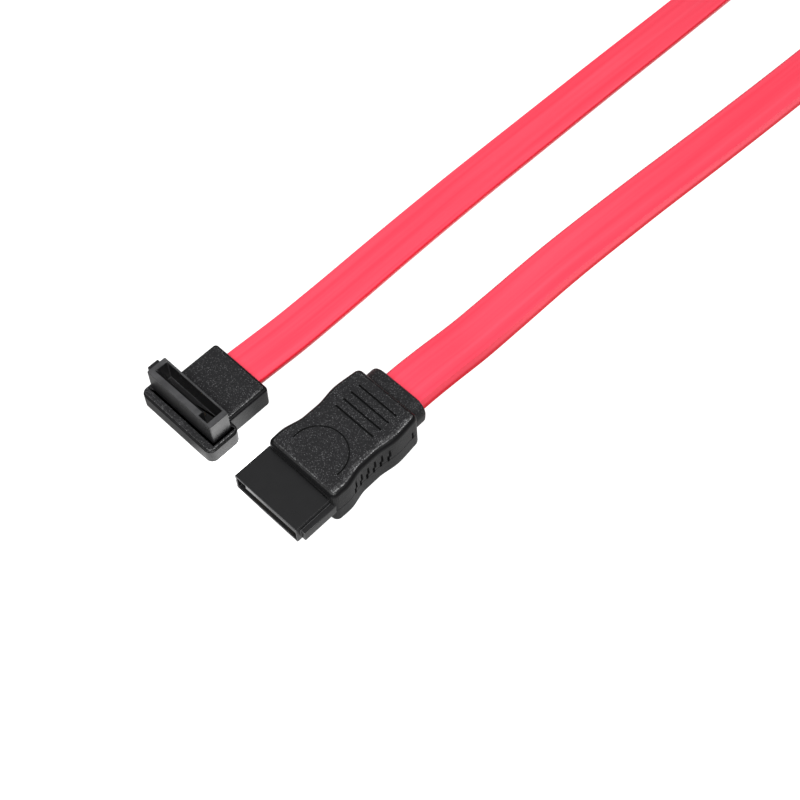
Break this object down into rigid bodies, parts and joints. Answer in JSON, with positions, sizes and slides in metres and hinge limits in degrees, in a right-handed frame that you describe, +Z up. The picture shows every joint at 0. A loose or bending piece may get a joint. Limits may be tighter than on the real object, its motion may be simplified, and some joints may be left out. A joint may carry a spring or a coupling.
{
  "type": "serial data cable",
  "caption": "Flat serial data cable laid out in a long narrow loop, with a straight plug at one end and a right-angle plug at the other.",
  "frame": {"origin": "centre of the straight plug's underside, on the table", "axes": "+Z up from the table, -Y the way the straight plug's nose points, and its cable leaves along +Y; the right-angle plug stands at -X with its nose up"},
  "size_m": [0.0578, 0.2487, 0.0078],
  "materials": {
    "jacket": "soft coral-red PVC with a low sheen and faint lengthwise ridges",
    "overmold": "black moulded plastic with a fine spark-eroded grain",
    "housing": "smooth satin black moulded plastic",
    "inner_mold": "natural moulded plastic",
    "contact": "gold-plated spring strip",
    "core": "white core insulation",
    "drain": "tinned copper wire"
  },
  "bodies": {
    "root": {"cable_jacket": "jacket", "straight_overmold": "overmold", "straight_housing": "housing", "straight_inner_mold": "inner_mold", "straight_contact_1": "contact", "straight_contact_2": "contact", "straight_contact_3": "contact", "straight_contact_4": "contact", "straight_contact_5": "contact", "straight_contact_6": "contact", "straight_contact_7": "contact", "straight_core_1": "core", "straight_core_2": "core", "straight_core_3": "core", "straight_core_4": "core", "straight_drain_1": "drain", "straight_drain_2": "drain", "straight_drain_3": "drain", "straight_drain_4": "drain", "angled_overmold": "overmold", "angled_housing": "housing", "angled_inner_mold": "inner_mold", "angled_contact_1": "contact", "angled_contact_2": "contact", "angled_contact_3": "contact", "angled_contact_4": "contact", "angled_contact_5": "contact", "angled_contact_6": "contact", "angled_contact_7": "contact", "angled_core_1": "core", "angled_core_2": "core", "angled_core_3": "core", "angled_core_4": "core", "angled_drain_1": "drain", "angled_drain_2": "drain", "angled_drain_3": "drain", "angled_drain_4": "drain"}
  },
  "joints": []
}
